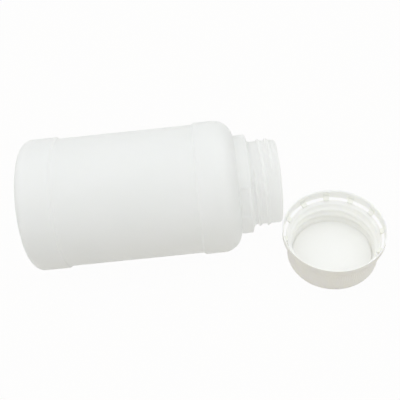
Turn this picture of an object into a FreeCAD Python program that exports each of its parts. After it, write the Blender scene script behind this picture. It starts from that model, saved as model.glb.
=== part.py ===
import FreeCAD, Part
import math
import os
import re
import Sketcher

# A wide-mouth reagent bottle of natural polyethylene, lying on its side, with its screw cap
# taken off and set down beside the mouth, open side up. Millimetres and degrees.
# Frame: +X along the bottle's axis towards the mouth, +Z up. The origin is on the surface that
# both pieces rest on, below the middle of the whole.
# Each piece is turned about the Z axis of its own body: the bottle from its base upwards, the
# cap's pieces from the closed end upwards. The placements then lay them out.

SIZES = {
    # bottle, along its axis, one length after the other from the base
    "base_band": 19.8,
    "panel_length": 81.4,
    "shoulder_band": 10.7,
    "shoulder_height": 11.1,
    "collar_height": 7.1,
    "collar_slope": 1.4,
    "neck_height": 16.1,
    "panel_step": 1.3,
    # bottle, across
    "band_radius": 39.0,
    "panel_depth": 1.0,
    "base_round": 5.9,
    "shoulder_ledge": 1.0,
    "neck_radius": 24.5,
    "neck_wall": 2.2,
    "collar_overhang": 4.6,
    "lip_round": 1.5,
    "bottle_wall": 1.3,
    # hollow under the base, inside the foot that the bottle stands on
    "foot_width": 5.1,
    "recess_slope": 2.5,
    "recess_depth": 2.0,
    # moulded windows in the collar: how many, their edges and depth, how wide and where round it
    "window_count": 2,
    "window_margin": 1.05,
    "window_depth": 0.5,
    "window_span": 36.0,
    "window_turn": 244.0,
    # screw thread, right-hand: its ridge is steep towards the load, and a share of the pitch wide
    "thread_pitch": 5.0,
    "thread_depth": 1.05,
    "crest_share": 0.16,
    "steep_share": 0.1,
    "gentle_share": 0.3,
    "thread_root": 0.3,
    "thread_clearance": 0.25,
    "neck_thread_margin": 0.6,
    "lip_thread_margin": 0.85,
    "neck_thread_turn": 196.0,
    "cap_thread_margin": 0.7,
    "cap_thread_turn": 90.3,
    # cap, from its closed end to the bead and the lead-in at its mouth
    "top_plate": 1.5,
    "skirt_clearance": 0.1,
    "skirt_wall": 1.5,
    "skirt_taper": 0.6,
    "cap_round": 3.0,
    "cap_corner": 1.2,
    "mouth_bead": 0.3,
    "mouth_bead_height": 1.0,
    "mouth_lead": 0.7,
    "mouth_lead_height": 1.1,
    # sealing disc in the cap
    "liner_thickness": 0.9,
    "liner_clearance": 1.35,
    "liner_edge": 0.25,
    # tamper ring, which goes round the collar: a bead and a flare at the end by the skirt, a lead-in
    # at the other
    "ring_gap": 0.7,
    "ring_shoulder_gap": 2.2,
    "ring_wall": 0.65,
    "ring_clearance": 0.25,
    "ring_edge": 0.2,
    "ring_flare": 0.5,
    "ring_flare_height": 1.6,
    "ring_bead": 0.4,
    "ring_bead_height": 0.5,
    "ring_lead": 0.35,
    "ring_lead_height": 2.0,
    # the webs that carry the ring: a block from the skirt to the bead, and a pad above it on the ring
    "bridge_count": 12,
    "bridge_width": 3.6,
    "bridge_foot": 0.8,
    "bridge_rise": 2.9,
    "bridge_reach": 1.0,
    "bridge_drop": 0.35,
    "bridge_pad": 0.2,
    # where the cap stands beside the mouth, and how it is turned
    "cap_beside": 4.55,
    "cap_gap": 0.3,
    "cap_turn": 28.5,
    # how far a cutting shape runs past what it cuts
    "overrun": 2.0,
}

# lengths that several outlines share, worked out from the sizes
SHARED = {
    "panel_radius": "band_radius - panel_depth",
    "foot_radius": "band_radius - base_round",
    "recess_radius": "foot_radius - foot_width",
    "collar_radius": "neck_radius + collar_overhang",
    "bore_radius": "neck_radius - neck_wall",
    "crest_radius": "neck_radius + thread_depth",
    "shoulder_step": "base_band + panel_length",
    "shoulder_start": "shoulder_step + shoulder_band",
    "collar_start": "shoulder_start + shoulder_height",
    "collar_end": "collar_start + collar_height",
    "neck_root": "collar_end + collar_slope",
    "bottle_length": "neck_root + neck_height",
    # the shoulder's arc leaves the band upright and ends at the ledge round the collar
    "shoulder_run": "min(band_radius - collar_radius - shoulder_ledge; shoulder_height)",
    "shoulder_round": "(shoulder_run^2 + shoulder_height^2) / (2 * shoulder_run)",
    "shoulder_centre": "band_radius - shoulder_round",
    "half_crest": "thread_pitch * crest_share / 2",
    "steep": "thread_pitch * steep_share",
    "gentle": "thread_pitch * gentle_share",
    "neck_thread_start": "neck_root + neck_thread_margin + steep + half_crest",
    "neck_thread_end": "bottle_length - lip_round - lip_thread_margin - gentle - half_crest",
    "liner_top": "top_plate + liner_thickness",
    "cap_inside": "crest_radius + thread_clearance",
    "cap_crest": "neck_radius + thread_clearance",
    # the disc is small enough to go past the cap's thread
    "liner_radius": "cap_crest - liner_clearance",
    "skirt_mouth": "cap_inside + skirt_wall",
    "skirt_rim": "skirt_mouth + mouth_bead",
    "skirt_end": "skirt_mouth - skirt_taper",
    "skirt_height": "liner_top + neck_height - skirt_clearance",
    # the cap's thread starts beside the disc
    "cap_thread_start": "liner_top",
    "cap_thread_end": "skirt_height - mouth_lead_height - cap_thread_margin - gentle - half_crest",
    "ring_start": "skirt_height + ring_gap",
    "ring_end": "skirt_height + skirt_clearance + collar_slope + collar_height - ring_shoulder_gap",
    "ring_inside": "collar_radius + ring_clearance",
    "ring_outside": "ring_inside + ring_wall",
    "ring_bead_inside": "ring_inside - ring_bead",
    "ring_bead_end": "ring_start + ring_bead_height",
    # where the collar's full width comes to when the cap is on
    "collar_level": "liner_top + neck_height + collar_slope",
    # the cap stands as near to the mouth as its ring clears the middle of the lip's rounding,
    # also when the ring has parted from the cap by as much as it drops to the shoulder
    "cap_aside": "neck_radius + cap_beside",
    "lip_drop": "max(band_radius - ring_end - ring_shoulder_gap; 0)",
    "lip_half_width": "sqrt(max((neck_radius - lip_round / 2)^2 - lip_drop^2; 0))",
    "cap_ahead": "sqrt(ring_outside^2 - (cap_aside - lip_half_width - cap_gap)^2)",
    # the middle of the whole, measured from the centre of the bottle's base
    "middle_x": "(bottle_length + cap_ahead + ring_outside) / 2",
    "middle_y": "(band_radius - cap_aside - ring_outside) / 2",
}

doc = FreeCAD.newDocument("ReagentBottle")
sheet = doc.addObject("Spreadsheet::Sheet", "Sizes")
for row, (alias, value) in enumerate(SIZES.items(), start=1):
    sheet.set(f"A{row}", alias)
    sheet.set(f"B{row}", str(value))
    sheet.setAlias(f"B{row}", alias)
doc.recompute()


def bound(text):
    # writes out the shared lengths and puts the sheet's name before each of its aliases
    def spell(match):
        word = match.group()
        if word in SHARED:
            return f"({bound(SHARED[word])})"
        return f"Sizes.{word}" if word in SIZES else word
    return re.sub(r"[a-z_]+", spell, text)


def number(text):
    return float(sheet.evalExpression(bound(text)))


def add_body(label):
    body = doc.addObject("PartDesign::Body", label)
    body.Label = label
    return body


def add_sketch(body, name, turn=None):
    # an upright sketch through the body's axis: across is its x, along the axis is its y
    sketch = body.newObject("Sketcher::SketchObject", name)
    plane = next(item for item in body.Origin.OriginFeatures if item.Role == "XZ_Plane")
    sketch.AttachmentSupport = [(plane, "")]
    sketch.MapMode = "FlatFace"
    if turn:
        upright = FreeCAD.Rotation(FreeCAD.Vector(0, 1, 0), number(turn))
        sketch.AttachmentOffset = FreeCAD.Placement(FreeCAD.Vector(), upright)
        sketch.setExpression("AttachmentOffset.Rotation.Angle", bound(turn))
    return sketch


def tie(sketch, kind, geometry, point, text):
    # holds one coordinate of a point to an expression of the sheet
    if text == "0":
        axis = -2 if kind == "DistanceX" else -1
        sketch.addConstraint(Sketcher.Constraint("PointOnObject", geometry, point, axis))
        return
    index = sketch.addConstraint(
        Sketcher.Constraint(kind, -1, 1, geometry, point, number(text)))
    sketch.setExpression(f"Constraints[{index}]", bound(text))


def arc_between(start, end, centre_x):
    # counter-clockwise arc through both ends, with its centre at a known distance from the axis
    rise = (start.x - centre_x) ** 2 - (end.x - centre_x) ** 2 + start.y ** 2 - end.y ** 2
    centre = FreeCAD.Vector(centre_x, rise / (2 * (start.y - end.y)), 0)
    circle = Part.Circle(centre, FreeCAD.Vector(0, 0, 1), (start - centre).Length)
    first = math.atan2(start.y - centre.y, start.x - centre.x)
    last = math.atan2(end.y - centre.y, end.x - centre.x)
    return Part.ArcOfCircle(circle, first, last)


def draw_outline(sketch, corners):
    # a closed outline: a corner is (across, along), and a third entry makes the side that leads
    # to it an arc, giving its centre's distance from the axis
    spots = [FreeCAD.Vector(number(corner[0]), number(corner[1]), 0) for corner in corners]
    count = len(corners)
    for side in range(count):
        ahead = (side + 1) % count
        if len(corners[ahead]) == 2:
            sketch.addGeometry(Part.LineSegment(spots[side], spots[ahead]), False)
        else:
            centre_x = number(corners[ahead][2])
            sketch.addGeometry(arc_between(spots[side], spots[ahead], centre_x), False)
    for side, corner in enumerate(corners):
        before = (side - 1) % count
        sketch.addConstraint(Sketcher.Constraint("Coincident", before, 2, side, 1))
        tie(sketch, "DistanceX", side, 1, corner[0])
        tie(sketch, "DistanceY", side, 1, corner[1])
        if len(corner) == 3:
            tie(sketch, "DistanceX", before, 3, corner[2])


def add_turned(body, kind, name, corners, turn=None, span=None):
    # an outline turned about the body's axis, all the way round or evenly over a span
    sketch = add_sketch(body, f"{name}Sketch", turn)
    draw_outline(sketch, corners)
    feature = body.newObject(f"PartDesign::{kind}", name)
    feature.Profile = sketch
    feature.ReferenceAxis = (sketch, ["V_Axis"])
    feature.Angle = 360.0
    if span:
        feature.Midplane = True
        feature.setExpression("Angle", bound(span))
    doc.recompute()
    return feature


def add_thread(body, name, root, crest, start, end, turn):
    # a right-hand ridge wound about the body's axis, its crest running from start to end
    sketch = add_sketch(body, f"{name}Sketch", turn)
    draw_outline(sketch, [
        (root, f"{start} - half_crest - steep"),
        (crest, f"{start} - half_crest"),
        (crest, f"{start} + half_crest"),
        (root, f"{start} + half_crest + gentle"),
    ])
    ridge = body.newObject("PartDesign::AdditiveHelix", name)
    ridge.Profile = sketch
    ridge.ReferenceAxis = (sketch, ["V_Axis"])
    ridge.Mode = "pitch-turns-angle"
    ridge.LeftHanded = False
    ridge.setExpression("Pitch", bound("thread_pitch"))
    ridge.setExpression("Turns", bound(f"({end} - {start}) / thread_pitch"))
    doc.recompute()
    return ridge


def add_ring_of(body, name, feature, count):
    # equal copies of a feature round the body's axis
    pattern = body.newObject("PartDesign::PolarPattern", name)
    pattern.Originals = [feature]
    pattern.Axis = (feature.Profile[0], ["V_Axis"])
    pattern.Angle = 360.0
    pattern.setExpression("Occurrences", bound(count))
    body.Tip = pattern
    doc.recompute()
    return pattern


def place(body, rotation, x, y, z):
    body.Placement = FreeCAD.Placement(FreeCAD.Vector(), rotation)
    body.setExpression("Placement.Base.x", bound(x))
    body.setExpression("Placement.Base.y", bound(y))
    body.setExpression("Placement.Base.z", bound(z))


def place_cap_piece(body):
    turned = FreeCAD.Rotation(FreeCAD.Vector(0, 0, 1), number("cap_turn"))
    place(body, turned, "bottle_length + cap_ahead - middle_x", "-cap_aside - middle_y", "0")
    body.setExpression("Placement.Rotation.Angle", bound("cap_turn"))


# Each function below makes one piece, and gives its body, the features that add material and
# those that take it away.

def make_bottle():
    body = add_body("bottle_body")
    blank = add_turned(body, "Revolution", "BottleBlank", [
        ("0", "recess_depth"),
        ("recess_radius - recess_slope", "recess_depth"),
        ("recess_radius", "0"),
        ("foot_radius", "0"),
        ("band_radius", "base_round", "foot_radius"),
        ("band_radius", "base_band"),
        ("panel_radius", "base_band + panel_step"),
        ("panel_radius", "shoulder_step - panel_step"),
        ("band_radius", "shoulder_step"),
        ("band_radius", "shoulder_start"),
        ("band_radius - shoulder_run", "collar_start", "shoulder_centre"),
        ("collar_radius", "collar_start"),
        ("collar_radius", "collar_end"),
        ("neck_radius", "neck_root"),
        ("neck_radius", "bottle_length - lip_round"),
        ("neck_radius - lip_round", "bottle_length", "neck_radius - lip_round"),
        ("0", "bottle_length"),
    ])
    thread = add_thread(body, "NeckThread", "neck_radius - thread_root", "crest_radius",
                        "neck_thread_start", "neck_thread_end", "neck_thread_turn")
    ledge_inside = ("shoulder_centre + sqrt((shoulder_round - bottle_wall)^2"
                    " - (shoulder_height - bottle_wall)^2)")
    hollow = add_turned(body, "Groove", "BottleInside", [
        ("0", "recess_depth + bottle_wall"),
        ("recess_radius - recess_slope", "recess_depth + bottle_wall"),
        ("recess_radius", "bottle_wall"),
        ("foot_radius", "bottle_wall"),
        ("band_radius - bottle_wall", "base_round", "foot_radius"),
        ("band_radius - bottle_wall", "base_band"),
        ("panel_radius - bottle_wall", "base_band + panel_step"),
        ("panel_radius - bottle_wall", "shoulder_step - panel_step"),
        ("band_radius - bottle_wall", "shoulder_step"),
        ("band_radius - bottle_wall", "shoulder_start"),
        (ledge_inside, "collar_start - bottle_wall", "shoulder_centre"),
        ("collar_radius - bottle_wall", "collar_start - bottle_wall"),
        ("collar_radius - bottle_wall", "collar_end - bottle_wall"),
        ("bore_radius", "neck_root - bottle_wall"),
        ("bore_radius", "bottle_length + overrun"),
        ("0", "bottle_length + overrun"),
    ])
    window = add_turned(body, "Groove", "CollarWindow", [
        ("collar_radius - window_depth", "collar_start + window_margin"),
        ("collar_radius + overrun", "collar_start + window_margin"),
        ("collar_radius + overrun", "collar_end - window_margin"),
        ("collar_radius - window_depth", "collar_end - window_margin"),
    ], "window_turn", "window_span")
    windows = add_ring_of(body, "CollarWindows", window, "window_count")
    lying = FreeCAD.Rotation(FreeCAD.Vector(0, 1, 0), 90)
    place(body, lying, "-middle_x", "-middle_y", "band_radius")
    return body, [blank, thread], [hollow, window, windows]


def make_cap():
    body = add_body("screw_cap")
    shell = add_turned(body, "Revolution", "CapShell", [
        ("0", "0"),
        ("skirt_end - cap_round", "0"),
        ("skirt_end", "cap_round", "skirt_end - cap_round"),
        ("skirt_mouth", "skirt_height - mouth_bead_height - mouth_bead"),
        ("skirt_rim", "skirt_height - mouth_bead_height"),
        ("skirt_rim", "skirt_height"),
        ("cap_inside + mouth_lead", "skirt_height"),
        ("cap_inside", "skirt_height - mouth_lead_height"),
        ("cap_inside", "top_plate + cap_corner"),
        ("cap_inside - cap_corner", "top_plate"),
        ("0", "top_plate"),
    ])
    thread = add_thread(body, "CapThread", "cap_inside + thread_root", "cap_crest",
                        "cap_thread_start", "cap_thread_end", "cap_thread_turn")
    place_cap_piece(body)
    return body, [shell, thread], []


def make_liner():
    body = add_body("cap_liner")
    disc = add_turned(body, "Revolution", "LinerDisc", [
        ("0", "top_plate"),
        ("liner_radius", "top_plate"),
        ("liner_radius", "liner_top - liner_edge"),
        ("liner_radius - liner_edge", "liner_top", "liner_radius - liner_edge"),
        ("0", "liner_top"),
    ])
    place_cap_piece(body)
    return body, [disc], []


def make_tamper_band():
    body = add_body("tamper_band")
    hoop = add_turned(body, "Revolution", "TamperHoop", [
        ("ring_bead_inside", "ring_start"),
        ("ring_outside - ring_flare", "ring_start"),
        ("ring_outside", "ring_start + ring_flare_height"),
        ("ring_outside", "ring_end - ring_edge"),
        ("ring_outside - ring_edge", "ring_end", "ring_outside - ring_edge"),
        ("ring_inside + ring_lead", "ring_end"),
        ("ring_inside", "ring_end - ring_lead_height"),
        ("ring_inside", "ring_bead_end + ring_bead"),
        ("ring_bead_inside", "ring_bead_end"),
    ])
    place_cap_piece(body)
    return body, [hoop], []


def make_bridges():
    body = add_body("band_bridges")
    body.AllowCompound = True
    bridge = add_turned(body, "Revolution", "Bridge", [
        ("skirt_rim - bridge_foot", "skirt_height"),
        ("skirt_rim", "skirt_height"),
        ("ring_bead_inside", "ring_start"),
        ("ring_bead_inside", "ring_bead_end"),
        ("ring_inside", "ring_bead_end + ring_bead"),
        ("ring_inside", "ring_start + bridge_rise"),
        ("ring_inside - bridge_pad", "ring_start + bridge_rise"),
        ("ring_inside - bridge_pad", "collar_level"),
        ("ring_inside - bridge_reach", "collar_level - bridge_drop"),
        ("skirt_rim - bridge_foot", "ring_start"),
    ], span="bridge_width / ring_inside * 180 / pi")
    bridges = add_ring_of(body, "Bridges", bridge, "bridge_count")
    place_cap_piece(body)
    return body, [bridge, bridges], []


pieces = [make_bottle(), make_cap(), make_liner(), make_tamper_band(), make_bridges()]
doc.recompute()

for item in doc.Objects:
    if "Invalid" in item.State or "Error" in item.State:
        raise RuntimeError(f"{item.Name} failed to recompute: {item.State}")
for body, additions, cuts in pieces:
    if body.Shape.isNull() or not body.Shape.isValid():
        raise RuntimeError(f"{body.Label} has no valid solid")
    for feature in additions + cuts:
        before = feature.BaseFeature.Shape.Volume if feature.BaseFeature else 0.0
        change = feature.Shape.Volume - before
        if feature in additions and change <= 0 or feature in cuts and change >= 0:
            raise RuntimeError(f"{feature.Name} changed the volume by {change:.3f}")

os.makedirs("parts", exist_ok=True)
for body, additions, cuts in pieces:
    body.Shape.exportStep(f"parts/{body.Label}.step")
    box = body.Shape.optimalBoundingBox()
    print(f"{body.Label}: {len(body.Shape.Solids)} solid(s), {body.Shape.Volume / 1000:.3f} cm3,"
          f" x {box.XMin:.2f} to {box.XMax:.2f}, y {box.YMin:.2f} to {box.YMax:.2f},"
          f" z {box.ZMin:.2f} to {box.ZMax:.2f}")
print(f"base centre x {-number('middle_x'):.4f}, axis y {-number('middle_y'):.4f},"
      f" cap x {number('bottle_length + cap_ahead - middle_x'):.4f},"
      f" y {number('-cap_aside - middle_y'):.4f}")
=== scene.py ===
import math

import bpy
from mathutils import Matrix, Vector


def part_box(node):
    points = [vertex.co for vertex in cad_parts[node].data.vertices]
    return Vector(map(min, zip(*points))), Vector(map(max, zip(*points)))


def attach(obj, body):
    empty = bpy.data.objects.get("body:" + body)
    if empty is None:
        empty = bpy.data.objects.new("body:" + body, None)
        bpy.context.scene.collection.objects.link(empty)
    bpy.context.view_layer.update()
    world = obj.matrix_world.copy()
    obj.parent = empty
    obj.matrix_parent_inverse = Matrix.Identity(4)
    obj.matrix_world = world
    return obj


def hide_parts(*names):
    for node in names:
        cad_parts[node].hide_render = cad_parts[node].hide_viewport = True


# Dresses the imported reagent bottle: a milky blown bottle lying on its side, and its moulded screw cap
# set down beside the mouth, open side up. Dictionaries are in millimetres and degrees, the scene in metres.

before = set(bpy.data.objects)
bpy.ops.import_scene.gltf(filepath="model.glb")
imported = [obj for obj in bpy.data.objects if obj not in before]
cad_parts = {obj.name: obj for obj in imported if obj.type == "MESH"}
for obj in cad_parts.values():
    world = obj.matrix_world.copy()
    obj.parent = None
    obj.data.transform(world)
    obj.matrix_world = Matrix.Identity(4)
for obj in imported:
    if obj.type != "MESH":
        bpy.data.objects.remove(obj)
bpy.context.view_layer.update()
mm = 0.001
fullTurn = 2 * math.pi
print("frame loaded:", ", ".join(sorted(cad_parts)))


# shape tools: outlines are (across, along) points in mm, turned about an axis

def ease(value):  # 0 to 1 with soft ends
    value = min(max(value, 0.0), 1.0)
    return value * value * (3 - 2 * value)


def apart(angle, other):  # the shorter way round between two angles
    return abs((angle - other + math.pi) % fullTurn - math.pi)


def roundedOutline(corners, step=4.0, bend=9.0):
    # a corner is (across, along, rounding) and may end with the step for the run that leads to it
    spots = [Vector(corner[:2]) for corner in corners]
    outline = [spots[0]]

    def runTo(target, gap):
        start = outline[-1]
        count = math.ceil((target - start).length / gap - 1e-6)  # none when it is already there
        outline.extend(start.lerp(target, i / count) for i in range(1, count + 1))

    for i in range(1, len(corners) - 1):
        gap = corners[i][3] if len(corners[i]) > 3 else step
        back = (spots[i - 1] - spots[i]).normalized()
        ahead = (spots[i + 1] - spots[i]).normalized()
        half = back.angle(ahead) / 2
        rounding = corners[i][2]
        runTo(spots[i] + back * (rounding / math.tan(half)), gap)
        if rounding:
            centre = spots[i] + (back + ahead).normalized() * (rounding / math.sin(half))
            arm = outline[-1] - centre
            swing = math.copysign(math.pi - 2 * half, back.x * ahead.y - back.y * ahead.x)
            count = max(2, math.ceil(abs(math.degrees(swing)) / bend))
            for k in range(1, count + 1):
                turned = Matrix.Rotation(-swing * k / count, 2) @ arm
                outline.append(centre + turned)
    runTo(spots[-1], corners[-1][3] if len(corners[-1]) > 3 else step)
    return outline


def turnedRow(spot, angles, relief=None):
    # a ring of points round the axis; relief shifts each from the plain turned shape
    if spot.x < 1e-6:
        return [(0.0, 0.0, spot.y)]
    row = []
    for angle in angles:
        across, along = relief(spot.x, spot.y, angle) if relief else spot
        row.append((across * math.cos(angle), across * math.sin(angle), along))
    return row


def skinRows(name, rows, place, material, closed=False):
    # faces between neighbouring rings, where a ring of one point is a pole
    points, starts, faces = [], [], []
    for row in rows:
        starts.append(len(points))
        points.extend(row)
    pairs = [(k, k + 1) for k in range(len(rows) - 1)]
    if closed:
        pairs.append((len(rows) - 1, 0))
    for a, b in pairs:
        countA, countB = len(rows[a]), len(rows[b])
        columns = max(countA, countB)
        for i in range(columns):
            j = (i + 1) % columns
            face = (starts[a] + i % countA, starts[a] + j % countA,
                    starts[b] + j % countB, starts[b] + i % countB)
            faces.append(tuple(dict.fromkeys(face)))
    mesh = bpy.data.meshes.new(name)
    mesh.from_pydata(points, [], faces)
    mesh.transform(place @ Matrix.Scale(mm, 4))
    mesh.shade_smooth()
    mesh.materials.append(material)
    piece = bpy.data.objects.new(name, mesh)
    bpy.context.scene.collection.objects.link(piece)
    piece.modifiers.new("flatFaces", "WEIGHTED_NORMAL")
    return piece


def settle(piece, body, slot, *nodes):
    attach(piece, body)
    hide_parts(*nodes)
    print(f"{piece.name}: {len(piece.data.vertices)} points on {body}")


# screw thread, shared by the neck and the cap, which have to fit each other
thread = {
    "pitch": 5.0,
    "depth": 1.05,
    "crest": 0.8,  # width of the flat top
    "steep": 0.5,  # flank that takes the load
    "gentle": 1.5,
    "fade": 28.0,  # run-out at both ends, in degrees
}


def threadRise(along, angle, start, end, firstAngle, soft=1.0):
    # how far the right-hand ridge stands up at a spot, from 0 to 1; soft rounds its flanks
    turns = (end - start) / thread["pitch"]
    fade = thread["fade"] / 360
    lap = ((angle - firstAngle) / fullTurn) % 1.0
    rise = 0.0
    while lap < turns:
        offset = along - start - thread["pitch"] * lap
        flank = thread["steep"] if offset < 0 else thread["gentle"]
        down = min(max((abs(offset) - thread["crest"] / 2) / flank, 0.0), 1.0)
        side = 1 - down - (ease(down) - down) * soft
        ends = ease(lap / fade) * ease((turns - lap) / fade)
        rise = max(rise, side * ends)
        lap += 1.0
    return rise


# materials

def linearColour(code):  # sRGB hex to the linear values that sockets take
    parts = [int(code[i:i + 2], 16) / 255 for i in (1, 3, 5)]
    return [p / 12.92 if p <= 0.04045 else ((p + 0.055) / 1.055) ** 2.4 for p in parts] + [1.0]


def addNode(tree, kind, inputs=None, **settings):
    # an input is a value, or another node's output to link to
    node = tree.nodes.new("ShaderNode" + kind)
    for name, value in settings.items():
        setattr(node, name, value)
    for socket, value in (inputs or {}).items():
        if isinstance(value, bpy.types.NodeSocket):
            tree.links.new(value, node.inputs[socket])
        else:
            node.inputs[socket].default_value = value
    return node


def newMaterial(name):
    material = bpy.data.materials.new(name)
    material.use_nodes = True
    material.node_tree.nodes.clear()
    return material, material.node_tree


def blownPolyethylene():
    # natural high-density polyethylene, blow-moulded: milky and waxy, light soaks through the thin wall,
    # with a satin skin, faint clouds in the melt and faint draw lines along the bottle
    look = {
        "clear": "#fdfdfd",
        "cloudy": "#f9faf9",
        "cloudSize": 22.0,
        "lineWidth": 1.6,
        "lineLength": 70.0,
        "peelSize": 0.9,
        "peelHeight": 0.006,
        "lineHeight": 0.004,
        "gloss": (0.36, 0.44),
        "ior": 1.54,
        "soak": 1.0,
        "through": (0.6, 0.74),  # share of the light that goes on into the bottle, at the body and the neck
        "neckStart": (116.0, 125.0),  # from the base
    }
    material, tree = newMaterial("natural polyethylene, blow-moulded")
    spot = addNode(tree, "TexCoord").outputs["Object"]
    clouds = addNode(tree, "TexNoise", {"Vector": spot, "Scale": 1 / (look["cloudSize"] * mm), "Detail": 3.0})
    tint = addNode(tree, "Mix", {
        "Factor": clouds.outputs["Fac"],
        "A": linearColour(look["clear"]),
        "B": linearColour(look["cloudy"]),
    }, data_type="RGBA")
    drawn = addNode(tree, "Mapping", {
        "Vector": spot,
        "Scale": (look["lineWidth"] / look["lineLength"], 1.0, 1.0),
    })
    lines = addNode(tree, "TexNoise", {
        "Vector": drawn.outputs["Vector"],
        "Scale": 1 / (look["lineWidth"] * mm),
        "Detail": 2.0,
    })
    peel = addNode(tree, "TexNoise", {"Vector": spot, "Scale": 1 / (look["peelSize"] * mm), "Detail": 1.0})
    gloss = addNode(tree, "MapRange", {
        "Value": clouds.outputs["Fac"],
        "To Min": look["gloss"][0],
        "To Max": look["gloss"][1],
    })
    lineBump = addNode(tree, "Bump", {"Height": lines.outputs["Fac"], "Distance": look["lineHeight"] * mm})
    peelBump = addNode(tree, "Bump", {
        "Height": peel.outputs["Fac"],
        "Distance": look["peelHeight"] * mm,
        "Normal": lineBump.outputs["Normal"],
    })
    skin = addNode(tree, "BsdfPrincipled", {
        "Base Color": tint.outputs["Result"],
        "Roughness": gloss.outputs["Result"],
        "IOR": look["ior"],
        "Subsurface Weight": 1.0,
        "Subsurface Radius": (1.0, 1.0, 0.96),
        "Subsurface Scale": look["soak"] * mm,
        "Normal": peelBump.outputs["Normal"],
    })
    milk = addNode(tree, "BsdfTranslucent", {"Color": tint.outputs["Result"]})
    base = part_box("bottle_body")[0].x
    along = addNode(tree, "SeparateXYZ", {"Vector": spot})
    through = addNode(tree, "MapRange", {
        "Value": along.outputs["X"],
        "From Min": base + look["neckStart"][0] * mm,
        "From Max": base + look["neckStart"][1] * mm,
        "To Min": look["through"][0],
        "To Max": look["through"][1],
    })
    wall = addNode(tree, "MixShader", {
        0: through.outputs["Result"],
        1: skin.outputs["BSDF"],
        2: milk.outputs["BSDF"],
    })
    addNode(tree, "OutputMaterial", {"Surface": wall.outputs["Shader"]})
    return material


def mouldedPolyethylene(name, soak, white="#fefdf7", shade="#fbfaf2"):
    # white polyethylene, injection-moulded: denser and a little warmer than the bottle, satin from the
    # tool's fine spark grain
    look = {
        "flowSize": 9.0,
        "grainSize": 0.35,  # ten times the real grain, which is too fine to show
        "grainHeight": 0.004,
        "gloss": (0.34, 0.46),
        "ior": 1.54,
    }
    material, tree = newMaterial(name)
    spot = addNode(tree, "TexCoord").outputs["Object"]
    flow = addNode(tree, "TexNoise", {"Vector": spot, "Scale": 1 / (look["flowSize"] * mm), "Detail": 2.0})
    tint = addNode(tree, "Mix", {
        "Factor": flow.outputs["Fac"],
        "A": linearColour(white),
        "B": linearColour(shade),
    }, data_type="RGBA")
    grain = addNode(tree, "TexNoise", {"Vector": spot, "Scale": 1 / (look["grainSize"] * mm), "Detail": 1.0})
    gloss = addNode(tree, "MapRange", {
        "Value": grain.outputs["Fac"],
        "To Min": look["gloss"][0],
        "To Max": look["gloss"][1],
    })
    bump = addNode(tree, "Bump", {"Height": grain.outputs["Fac"], "Distance": look["grainHeight"] * mm})
    skin = addNode(tree, "BsdfPrincipled", {
        "Base Color": tint.outputs["Result"],
        "Roughness": gloss.outputs["Result"],
        "IOR": look["ior"],
        "Subsurface Weight": 1.0,
        "Subsurface Radius": (1.0, 1.0, 0.92),
        "Subsurface Scale": soak * mm,
        "Normal": bump.outputs["Normal"],
    })
    addNode(tree, "OutputMaterial", {"Surface": skin.outputs["BSDF"]})
    return material


def foamedPolyethylene():
    # foamed polyethylene sheet, punched to a disc: brighter and duller than the cap, with fine closed cells
    look = {
        "white": "#fafaf7",
        "cell": "#f6f6f3",
        "cellSize": 0.45,
        "cellDepth": 0.01,
        "gloss": 0.6,
        "ior": 1.5,
        "soak": 0.8,
    }
    material, tree = newMaterial("foamed polyethylene, punched sheet")
    spot = addNode(tree, "TexCoord").outputs["Object"]
    cells = addNode(tree, "TexVoronoi", {"Vector": spot, "Scale": 1 / (look["cellSize"] * mm)})
    tint = addNode(tree, "Mix", {
        "Factor": cells.outputs["Distance"],
        "A": linearColour(look["white"]),
        "B": linearColour(look["cell"]),
    }, data_type="RGBA")
    bump = addNode(tree, "Bump", {
        "Height": cells.outputs["Distance"],
        "Distance": look["cellDepth"] * mm,
    }, invert=True)
    skin = addNode(tree, "BsdfPrincipled", {
        "Base Color": tint.outputs["Result"],
        "Roughness": look["gloss"],
        "IOR": look["ior"],
        "Subsurface Weight": 1.0,
        "Subsurface Radius": (1.0, 1.0, 1.0),
        "Subsurface Scale": look["soak"] * mm,
        "Normal": bump.outputs["Normal"],
    })
    addNode(tree, "OutputMaterial", {"Surface": skin.outputs["BSDF"]})
    return material


bottlePlastic = blownPolyethylene()
capPlastic = mouldedPolyethylene("white polyethylene, injection-moulded", soak=1.6)
ringPlastic = mouldedPolyethylene("white polyethylene, injection-moulded thin", soak=0.4)
# the webs get a darker white than the ring, though they are the same plastic: painted shade, for the shade
# that falls on them between the ring and the skirt
webPlasticPaintedShade = mouldedPolyethylene("white polyethylene, injection-moulded web", soak=0.05,
                                 white="#f5f5ef", shade="#f2f2eb")
linerFoam = foamedPolyethylene()
print("materials ready")


# bottle

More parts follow.
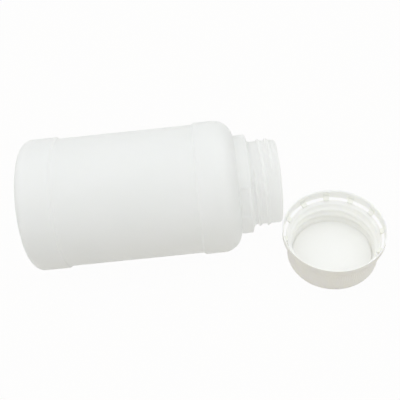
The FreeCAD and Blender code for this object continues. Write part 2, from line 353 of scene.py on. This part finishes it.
bottle = {
    "baseBand": 19.8,
    "panelLength": 81.4,
    "shoulderBand": 10.7,
    "shoulderHeight": 11.1,
    "collarHeight": 7.1,
    "collarSlope": 1.4,
    "collarFoot": 0.6,  # rounding where the collar stands on the shoulder
    "panelStep": 1.3,
    "panelDepth": 1.0,
    "baseRound": 5.9,
    "shoulderLedge": 1.0,
    "collarRadius": 29.1,
    "neckRadius": 24.5,
    "boreRadius": 22.3,
    "lipRound": 1.5,
    "lipInside": 0.6,
    "wall": 1.3,
    "footWidth": 5.1,
    "recessSlope": 2.5,
    "recessDepth": 2.0,
    "recessRound": 1.5,
    "footRound": 0.9,
    "softEdge": 0.55,  # rounding that blowing leaves on the steps
    "collarEdge": 0.7,
    "neckFoot": 2.0,
    "insideRound": 1.5,
    "insideLedge": 0.6,
    "insideFoot": 1.0,
    "insideShoulder": 0.9,  # share of the full arc, which keeps its ends clear of the corners beside it
    "threadMargin": 0.6,
    "lipMargin": 0.85,
    "threadAngle": 196.0,
    "windowAngles": (244.0, 64.0),
    "windowSpan": 36.0,
    "windowMargin": 1.05,
    "windowDepth": 0.5,
    "windowEdge": 0.7,
    "windowFrame": 0.2,  # raised rim round a window
    "frameWidth": 0.9,
    "frameFoot": (0.15, 0.4),  # the rim starts this far above the ledge and rises over this height
    "partAngles": (154.0, 334.0),  # where the two mould halves met
    "partHeight": 0.09,
    "partWidth": 0.3,
    "partReach": 2.5,  # how far closer columns go on each side of it, in widths
    "partColumns": 5,
    "pinchHeight": 0.7,  # weld across the base where the tube was pinched off
    "pinchWidth": 1.1,
    "columns": 280,
    "slack": 0.05,  # for telling which face a point lies on
    # how far apart the rings of points are
    "threadRows": 0.3,
    "windowRows": 0.4,
    "behindRows": 0.6,
    "slopeRows": 1.0,
    "panelRows": (8.0, 12.0),  # outside and inside
}


def makeBottle():
    low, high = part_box("bottle_body")
    length = (high.x - low.x) / mm
    bandRadius = (high.z - low.z) / 2 / mm
    place = (Matrix.Translation((low.x, (low.y + high.y) / 2, (low.z + high.z) / 2))
             @ Matrix.Rotation(math.pi / 2, 4, "Y"))
    wall, soft = bottle["wall"], bottle["softEdge"]
    panelRadius = bandRadius - bottle["panelDepth"]
    recessRadius = bandRadius - bottle["baseRound"] - bottle["footWidth"]
    recessFlat = recessRadius - bottle["recessSlope"]
    collarRadius, neckRadius, boreRadius = bottle["collarRadius"], bottle["neckRadius"], bottle["boreRadius"]
    panelStart = bottle["baseBand"]
    panelEnd = panelStart + bottle["panelLength"]
    shoulderStart = panelEnd + bottle["shoulderBand"]
    collarStart = shoulderStart + bottle["shoulderHeight"]
    collarEnd = collarStart + bottle["collarHeight"]
    neckRoot = collarEnd + bottle["collarSlope"]
    # the shoulder's arc leaves the band upright and ends at a narrow ledge round the collar
    run = bandRadius - collarRadius - bottle["shoulderLedge"]
    arcRadius = (run ** 2 + bottle["shoulderHeight"] ** 2) / (2 * run)
    arcTurn = math.asin(bottle["shoulderHeight"] / arcRadius)
    arcCorner = shoulderStart + arcRadius * math.tan(arcTurn / 2)
    lipTop = (neckRadius - bottle["lipRound"] + boreRadius + bottle["lipInside"]) / 2
    innerRun = run + wall * (math.cos(arcTurn) - 1)

    outside = roundedOutline([
        (0, bottle["recessDepth"], 0),
        (recessFlat, bottle["recessDepth"], bottle["recessRound"], bottle["slopeRows"]),
        (recessRadius, 0, bottle["footRound"]),
        (bandRadius, 0, bottle["baseRound"]),
        (bandRadius, panelStart, soft),
        (panelRadius, panelStart + bottle["panelStep"], soft),
        (panelRadius, panelEnd - bottle["panelStep"], soft, bottle["panelRows"][0]),
        (bandRadius, panelEnd, soft),
        (bandRadius, arcCorner, arcRadius),
        (bandRadius - run, collarStart, 0),
        (collarRadius, collarStart, bottle["collarFoot"]),
        (collarRadius, collarEnd, bottle["collarEdge"], bottle["windowRows"]),
        (neckRadius, neckRoot, bottle["neckFoot"], bottle["slopeRows"]),
        (neckRadius, length, bottle["lipRound"], bottle["threadRows"]),
        (lipTop, length, 0),
    ])
    inside = roundedOutline([
        (lipTop, length, 0),
        (boreRadius, length, bottle["lipInside"]),
        (boreRadius, neckRoot - wall, bottle["insideRound"]),
        (collarRadius - wall, collarEnd - wall, bottle["insideRound"]),
        (collarRadius - wall, collarStart - wall, bottle["insideLedge"], bottle["behindRows"]),
        (bandRadius - wall - innerRun, collarStart - wall, bottle["insideLedge"]),
        (bandRadius - wall, arcCorner - wall, (arcRadius - wall) * bottle["insideShoulder"]),
        (bandRadius - wall, panelEnd, soft),
        (panelRadius - wall, panelEnd - bottle["panelStep"], soft),
        (panelRadius - wall, panelStart + bottle["panelStep"], soft, bottle["panelRows"][1]),
        (bandRadius - wall, panelStart, soft),
        (bandRadius - wall, wall, bottle["baseRound"] - wall),
        (recessRadius, wall, bottle["insideFoot"]),
        (recessFlat, bottle["recessDepth"] + wall, bottle["recessRound"]),
        (0, bottle["recessDepth"] + wall, 0),
    ])[1:]
    threadStart = neckRoot + bottle["threadMargin"] + thread["steep"] + thread["crest"] / 2
    threadEnd = length - bottle["lipRound"] - bottle["lipMargin"] - thread["gentle"] - thread["crest"] / 2
    threadAngle = math.radians(bottle["threadAngle"])
    windowAngles = [math.radians(a) for a in bottle["windowAngles"]]
    partAngles = [math.radians(a) for a in bottle["partAngles"]]
    windowMiddle = (collarStart + collarEnd) / 2
    halfHeight = bottle["collarHeight"] / 2 - bottle["windowMargin"]
    halfSpan = math.radians(bottle["windowSpan"] / 2) * collarRadius

    def windowShift(along, angle):
        beside = min(apart(angle, a) for a in windowAngles) * collarRadius
        inset = min(halfSpan - beside, halfHeight - abs(along - windowMiddle))
        rim = (inset + bottle["frameWidth"] / 2) / (bottle["frameWidth"] / 2)
        foot = ease((along - collarStart - bottle["frameFoot"][0]) / bottle["frameFoot"][1])
        return (bottle["windowFrame"] * foot * math.exp(-rim * rim)
                - bottle["windowDepth"] * ease(inset / bottle["windowEdge"]))

    def hollow(across, along, angle):  # blown plastic is as thick behind a window as beside it
        if collarStart < along < collarEnd and across > collarRadius - wall - bottle["slack"]:
            return across + windowShift(along, angle), along
        return across, along

    def relief(across, along, angle):
        part = min(apart(angle, a) for a in partAngles)
        inHollow = across < recessRadius - bottle["recessSlope"] / 2
        if inHollow and along < bottle["recessDepth"] + bottle["slack"]:
            weld = abs(across * math.sin(angle - partAngles[0])) / bottle["pinchWidth"]
            edge = ease((recessFlat - across) / bottle["pinchWidth"])
            return across, along - bottle["pinchHeight"] * (1 - ease(weld)) * edge
        shift = 0.0
        if along > bottle["baseRound"] / 2:
            seam = part * across / bottle["partWidth"]
            shift += bottle["partHeight"] * math.exp(-seam * seam)
        if neckRoot < along < length - bottle["lipRound"] / 2:
            shift += thread["depth"] * threadRise(along, angle, threadStart, threadEnd, threadAngle)
        if collarStart < along < collarEnd and across > collarRadius - bottle["slack"]:
            shift += windowShift(along, angle)
        return across + shift, along

    # even columns, with closer ones along the mould line
    angles = [fullTurn * i / bottle["columns"] for i in range(bottle["columns"])]
    near = bottle["partReach"] * bottle["partWidth"] / bandRadius
    reach = bottle["partColumns"]
    for seam in partAngles:
        angles = [a for a in angles if apart(a, seam) > near]
        angles += [(seam + near * k / reach) % fullTurn for k in range(-reach, reach + 1)]
    angles.sort()
    rows = [turnedRow(spot, angles, relief) for spot in outside]
    rows += [turnedRow(spot, angles, hollow) for spot in inside]
    settle(skinRows("bottleShell", rows, place, bottlePlastic), "bottle", "bottle_plastic", "bottle_body")


makeBottle()


# cap, with its closed end on the floor

cap = {
    "topPlate": 1.5,
    "insideRadius": 25.8,
    "skirtTaper": 0.6,
    "endRound": 3.0,
    "corner": 2.0,
    "cornerRound": 1.2,
    "bead": 0.3,  # round the outside of the mouth
    "beadHeight": 1.0,
    "lead": 1.3,  # sloped edge inside the mouth
    "leadHeight": 2.0,
    "softEdge": 0.3,
    "threadStart": 1.17,  # runs out beside the sealing disc
    "threadEnd": 14.7,
    "threadAngle": 30.0,
    "threadDepth": 1.25,
    "threadSoft": 0.3,
    "ribCount": 120,
    "ribHeight": 0.11,
    "ribStart": 3.0,
    "ribMargin": 2.0,  # plain edge left below the open end
    "ribFade": (1.5, 0.8),  # at the closed end and the open one
    "ribColumns": 5,
    "gateRadius": 1.6,  # dimple where the plastic came in
    "gateDepth": 0.35,
    "gateSlope": 0.5,
    "gateRound": 0.2,
    # how far apart the rings of points are
    "ribRows": 0.8,
    "threadRows": 0.35,
}


def capPlace():
    low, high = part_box("tamper_band")
    return Matrix.Translation(((low.x + high.x) / 2, (low.y + high.y) / 2, 0.0))


def makeCap():
    low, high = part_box("screw_cap")
    rimRadius = (high.x - low.x) / 2 / mm
    height = (high.z - low.z) / mm
    mouthRadius = rimRadius - cap["bead"]
    endRadius = mouthRadius - cap["skirtTaper"]
    soft = cap["softEdge"]
    beadFoot = height - cap["beadHeight"]
    leadFoot = height - cap["leadHeight"]
    outside = roundedOutline([
        (0, cap["gateDepth"], 0),
        (cap["gateRadius"], cap["gateDepth"], cap["gateRound"]),
        (cap["gateRadius"] + cap["gateSlope"], 0, cap["gateRound"]),
        (endRadius, 0, cap["endRound"]),
        (mouthRadius, beadFoot - cap["bead"], soft, cap["ribRows"]),
        (rimRadius, beadFoot, soft),
        (rimRadius, height, soft),
        (cap["insideRadius"] + cap["lead"], height, soft),
        (cap["insideRadius"] + cap["lead"] / 2, (height + leadFoot) / 2, 0),
    ])
    inside = roundedOutline([
        (cap["insideRadius"] + cap["lead"] / 2, (height + leadFoot) / 2, 0),
        (cap["insideRadius"], leadFoot, soft),
        (cap["insideRadius"], cap["topPlate"] + cap["corner"], cap["cornerRound"], cap["threadRows"]),
        (cap["insideRadius"] - cap["corner"], cap["topPlate"], cap["cornerRound"], cap["threadRows"]),
        (0, cap["topPlate"], 0),
    ])[1:]
    threadAngle = math.radians(cap["threadAngle"])

    def ribs(across, along, angle):
        # rounded ribs, worked into the wall so that their crests keep the skirt's size
        if across < endRadius - soft or along >= height:
            return across, along
        wave = 0.5 + 0.5 * math.cos(cap["ribCount"] * angle)
        reach = (ease((along - cap["ribStart"]) / cap["ribFade"][0])
                 * ease((height - cap["ribMargin"] - along) / cap["ribFade"][1]))
        return across - cap["ribHeight"] * reach * (1 - wave), along

    def ridge(across, along, angle):
        if along > leadFoot:
            return across, along
        rise = threadRise(along, angle, cap["threadStart"], cap["threadEnd"], threadAngle, cap["threadSoft"])
        return min(across, cap["insideRadius"] - cap["threadDepth"] * rise), along

    columns = cap["ribCount"] * cap["ribColumns"]
    angles = [fullTurn * i / columns for i in range(columns)]
    rows = [turnedRow(spot, angles, ribs) for spot in outside]
    rows += [turnedRow(spot, angles, ridge) for spot in inside]
    settle(skinRows("capShell", rows, capPlace(), capPlastic), "cap", "cap_plastic", "screw_cap")


makeCap()


# sealing disc that lies loose in the cap

liner = {
    "edge": 0.45,
    "underEdge": 0.1,
    "lift": 0.02,  # hair of air under the disc, so that the two faces never coincide
    "columns": 240,
}


def makeLiner():
    low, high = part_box("cap_liner")
    radius = (high.x - low.x) / 2 / mm
    bottom, top = low.z / mm + liner["lift"], high.z / mm
    outline = roundedOutline([
        (0, bottom, 0),
        (radius, bottom, liner["underEdge"]),
        (radius, top, liner["edge"]),
        (0, top, 0),
    ])
    angles = [fullTurn * i / liner["columns"] for i in range(liner["columns"])]
    rows = [turnedRow(spot, angles) for spot in outline]
    settle(skinRows("linerDisc", rows, capPlace(), linerFoam), "liner", "liner_foam", "cap_liner")


makeLiner()


# tamper ring, and the webs that hold it to the skirt until the bottle is first opened

ring = {
    "wall": 0.65,
    "edge": 0.2,
    "flare": 0.5,  # outside, at the end by the skirt
    "flareHeight": 1.6,
    "flareRound": 1.0,
    "bead": 0.4,  # inward, at the same end
    "beadHeight": 0.5,
    "beadSoft": 0.15,
    "lead": 0.42,  # sloped edge inside the open end
    "leadHeight": 0.8,
    "leadSoft": 0.05,
    "crown": 0.1,  # low ridge under that slope
    "crownHeight": 0.4,
    "crownFoot": 1.0,
    "crownSoft": 0.3,
    "columns": 360,
    "rows": (1.0, 0.6),  # gap between rings of points, outside and inside
    "bridgeCount": 12,
    "bridgeTurn": 28.5,
    "bridgeWidth": 3.6,
    "bridgeFoot": 0.8,
    "bridgeRise": 2.9,
    "bridgeReach": 1.0,
    "bridgeDrop": 0.35,
    "bridgePad": 0.2,
    "collarLevel": 19.9,  # where the bottle's collar comes to when the cap is on
    "bridgeSoft": 0.08,
    "bridgeSegments": 3,
    "bridgeSteps": 4,
    "sunk": 0.25,  # how far a web runs into the ring and the skirt that it is moulded to
    "footSunk": 0.6,  # the same at its inner edge, over the slope of the skirt's rim
}


def makeRing():
    low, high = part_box("tamper_band")
    outer = (high.x - low.x) / 2 / mm
    inner = outer - ring["wall"]
    bottom, top = low.z / mm, high.z / mm
    middle = (bottom + top) / 2
    beadInner = inner - ring["bead"]
    beadEnd = bottom + ring["beadHeight"]
    leadFoot = top - ring["leadHeight"]
    crownSoft, beadSoft = ring["crownSoft"], ring["beadSoft"]
    outline = roundedOutline([
        (outer, middle, 0),
        (outer, top, ring["edge"], ring["rows"][0]),
        (inner + ring["lead"], top, ring["leadSoft"]),
        (inner - ring["crown"], leadFoot, crownSoft),
        (inner - ring["crown"], leadFoot - ring["crownHeight"], crownSoft),
        (inner + ring["crown"], leadFoot - ring["crownFoot"], crownSoft),
        (inner, beadEnd + ring["bead"], crownSoft, ring["rows"][1]),
        (beadInner, beadEnd, beadSoft),
        (beadInner, bottom, beadSoft),
        (outer - ring["flare"], bottom, beadSoft),
        (outer, bottom + ring["flareHeight"], ring["flareRound"]),
        (outer, middle, 0, ring["rows"][0]),
    ])[1:]
    angles = [fullTurn * i / ring["columns"] for i in range(ring["columns"])]
    rows = [turnedRow(spot, angles) for spot in outline]
    hoop = skinRows("tamperRing", rows, capPlace(), ringPlastic, closed=True)
    settle(hoop, "band", "cap_plastic", "tamper_band")
    return inner, bottom


def makeBridges(ringInside, ringBottom):
    low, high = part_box("screw_cap")
    rimRadius = (high.x - low.x) / 2 / mm
    skirtTop = high.z / mm
    foot = rimRadius - ring["bridgeFoot"]
    beadInside = ringInside - ring["bead"]
    beadEnd = ringBottom + ring["beadHeight"]
    sunk = ring["sunk"]
    profile = [
        (foot, skirtTop - ring["footSunk"]),
        (rimRadius - sunk, skirtTop - sunk),
        (rimRadius, skirtTop),
        (beadInside + sunk, ringBottom + sunk),
        (beadInside + sunk, beadEnd),
        (ringInside + sunk, beadEnd + ring["bead"]),
        (ringInside + sunk, ringBottom + ring["bridgeRise"]),
        (ringInside - ring["bridgePad"], ringBottom + ring["bridgeRise"]),
        (ringInside - ring["bridgePad"], ring["collarLevel"]),
        (ringInside - ring["bridgeReach"], ring["collarLevel"] - ring["bridgeDrop"]),
        (foot, ringBottom),
    ]
    points, faces = [], []
    halfTurn = ring["bridgeWidth"] / ringInside / 2
    for k in range(ring["bridgeCount"]):
        middle = math.radians(ring["bridgeTurn"]) + fullTurn * k / ring["bridgeCount"]
        first = len(points)
        for i in range(ring["bridgeSteps"] + 1):
            angle = middle + halfTurn * (2 * i / ring["bridgeSteps"] - 1)
            points += [(r * math.cos(angle), r * math.sin(angle), z) for r, z in profile]
        count = len(profile)
        for i in range(ring["bridgeSteps"]):
            here, there = first + i * count, first + (i + 1) * count
            for j in range(count):
                j2 = (j + 1) % count
                faces.append((here + j, here + j2, there + j2, there + j))
        faces.append(tuple(range(first + count - 1, first - 1, -1)))
        last = first + ring["bridgeSteps"] * count
        faces.append(tuple(range(last, last + count)))
    mesh = bpy.data.meshes.new("ringBridges")
    mesh.from_pydata(points, [], faces)
    mesh.transform(capPlace() @ Matrix.Scale(mm, 4))
    mesh.flip_normals()
    mesh.shade_smooth()
    mesh.materials.append(webPlasticPaintedShade)
    piece = bpy.data.objects.new("ringBridges", mesh)
    bpy.context.scene.collection.objects.link(piece)
    soften = piece.modifiers.new("softEdges", "BEVEL")
    soften.width = ring["bridgeSoft"] * mm
    soften.segments = ring["bridgeSegments"]
    soften.limit_method = "ANGLE"
    piece.modifiers.new("flatFaces", "WEIGHTED_NORMAL")
    settle(piece, "band", "cap_plastic", "band_bridges")


ringInside, ringBottom = makeRing()
makeBridges(ringInside, ringBottom)


# floor, light and camera

studio = {
    "floorSize": 6.0,
    "floorWhite": "#bfb49f",  # what the floor throws back at the object
    "floorGlow": 0.97,  # share of plain white in what the camera sees of the floor
    "skyColour": "#f6f9fb",
    "skyLow": 0.75,  # strength of the light from the walls, and from overhead
    "skyHigh": 1.0,
    "skySeen": 0.985,  # as bright as the floor where the camera sees them meet
    "boxSize": (2.6, 0.9),
    "boxHeight": 1.0,
    "boxPower": 4.6,
    "boxColour": "#fffdf8",
}


def seenDirectly(tree):
    # 1 for what the camera sees, straight or through a reflection, 0 for light on its way
    path = addNode(tree, "LightPath")
    direct = addNode(tree, "Math", {0: path.outputs["Is Camera Ray"], 1: path.outputs["Is Glossy Ray"]},
                     operation="MAXIMUM")
    either = addNode(tree, "Math", {0: direct.outputs[0], 1: path.outputs["Is Transmission Ray"]},
                     operation="MAXIMUM")
    return either.outputs[0]


def makeStudio():
    half = studio["floorSize"] / 2
    corners = [(-half, -half, 0), (half, -half, 0), (half, half, 0), (-half, half, 0)]
    mesh = bpy.data.meshes.new("floor")
    mesh.from_pydata(corners, [], [(0, 1, 2, 3)])
    floor = bpy.data.objects.new("floor", mesh)
    bpy.context.scene.collection.objects.link(floor)
    material, tree = newMaterial("white studio paper")
    share = addNode(tree, "Math", {0: seenDirectly(tree), 1: studio["floorGlow"]}, operation="MULTIPLY")
    paper = addNode(tree, "BsdfDiffuse", {"Color": linearColour(studio["floorWhite"])})
    glow = addNode(tree, "Emission", {"Color": linearColour("#ffffff"), "Strength": 1.0})
    mixed = addNode(tree, "MixShader", {
        0: share.outputs[0],
        1: paper.outputs["BSDF"],
        2: glow.outputs["Emission"],
    })
    addNode(tree, "OutputMaterial", {"Surface": mixed.outputs["Shader"]})
    mesh.materials.append(material)

    world = bpy.data.worlds.new("studio")
    world.use_nodes = True
    tree = world.node_tree
    tree.nodes.clear()
    seen = seenDirectly(tree)
    towards = addNode(tree, "SeparateXYZ", {"Vector": addNode(tree, "TexCoord").outputs["Generated"]})
    level = addNode(tree, "MapRange", {
        "Value": towards.outputs["Z"],
        "To Min": studio["skyLow"],
        "To Max": studio["skyHigh"],
    })
    strength = addNode(tree, "Mix", {"Factor": seen, "A": level.outputs["Result"], "B": studio["skySeen"]})
    tint = addNode(tree, "Mix", {
        "Factor": seen,
        "A": linearColour(studio["skyColour"]),
        "B": linearColour("#ffffff"),
    }, data_type="RGBA")
    sky = addNode(tree, "Background", {
        "Color": tint.outputs["Result"],
        "Strength": strength.outputs["Result"],
    })
    addNode(tree, "OutputWorld", {"Surface": sky.outputs["Background"]})
    bpy.context.scene.world = world

    lamp = bpy.data.lights.new("overheadBox", "AREA")
    lamp.shape = "RECTANGLE"
    lamp.size, lamp.size_y = studio["boxSize"]
    lamp.energy = studio["boxPower"]
    lamp.color = linearColour(studio["boxColour"])[:3]
    overhead = bpy.data.objects.new("overheadBox", lamp)
    overhead.location = (0.0, 0.0, studio["boxHeight"])
    bpy.context.scene.collection.objects.link(overhead)
    print("studio ready")


makeStudio()


view = {
    "lens": 61.79,
    "sensor": 36.0,
    "near": 10.0,  # nothing closer than this is drawn
    "down": 49.24,
    "turn": -2.15,
    "roll": -7.48,
    "place": (110.5, -271.3, 343.6),  # from the point of the floor below the base's centre
}


def makeCamera():
    low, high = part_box("bottle_body")
    below = Vector((low.x, (low.y + high.y) / 2, low.z))
    down, turn, roll = (math.radians(view[name]) for name in ("down", "turn", "roll"))
    forward = Vector((math.sin(turn) * math.cos(down), math.cos(turn) * math.cos(down), -math.sin(down)))
    right = Vector((math.cos(turn), -math.sin(turn), 0.0))
    upward = right.cross(forward)
    rolledRight = right * math.cos(roll) + upward * math.sin(roll)
    rolledUp = upward * math.cos(roll) - right * math.sin(roll)
    data = bpy.data.cameras.new("camera")
    data.sensor_width = view["sensor"]
    data.lens = view["lens"]
    data.clip_start = view["near"] * mm
    camera = bpy.data.objects.new("camera", data)
    turned = Matrix((rolledRight, rolledUp, -forward)).transposed().to_4x4()
    camera.matrix_world = Matrix.Translation(below + Vector(view["place"]) * mm) @ turned
    bpy.context.scene.collection.objects.link(camera)
    bpy.context.scene.camera = camera
    print("camera ready")


makeCamera()
bpy.context.scene.view_settings.view_transform = "Standard"
